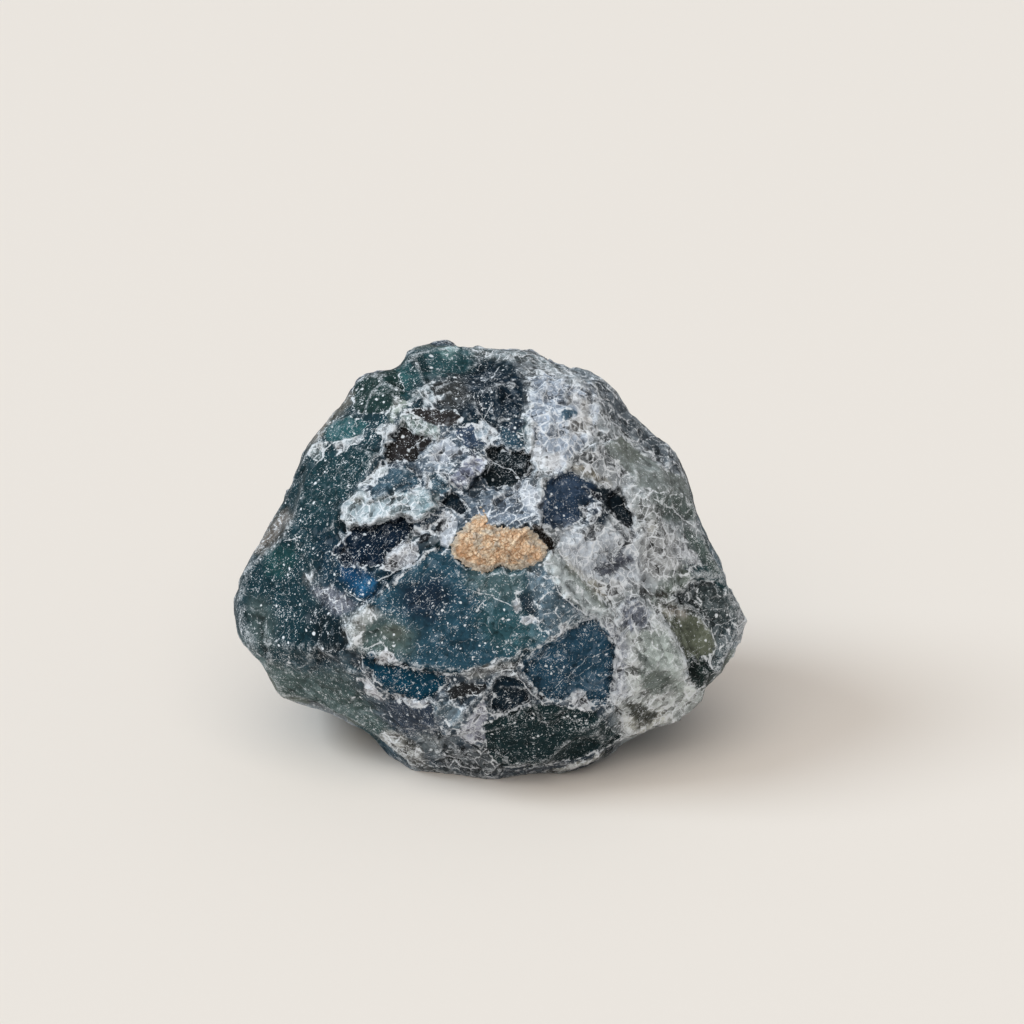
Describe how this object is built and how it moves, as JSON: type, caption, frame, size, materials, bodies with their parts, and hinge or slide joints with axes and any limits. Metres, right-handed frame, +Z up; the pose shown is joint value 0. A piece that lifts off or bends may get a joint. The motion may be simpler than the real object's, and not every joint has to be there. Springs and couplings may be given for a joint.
{
  "type": "raw fluorite stone",
  "caption": "Palm-sized rough lump of blue-green fluorite with flat broken faces, stepped ledges and a small tan crust, resting on a flat break.",
  "frame": {"origin": "bottom centre of the lump's bounding box, on the surface it rests on", "axes": "+X to the right of its wide broken face, +Y into the lump, +Z up"},
  "size_m": [0.0702, 0.0515, 0.0551],
  "materials": {
    "fluorite": "broken, translucent blue-green with white frost and specks",
    "crust": "sugary, matte tan"
  },
  "bodies": {
    "root": {"fluorite": "fluorite", "crust": "crust"}
  },
  "joints": []
}
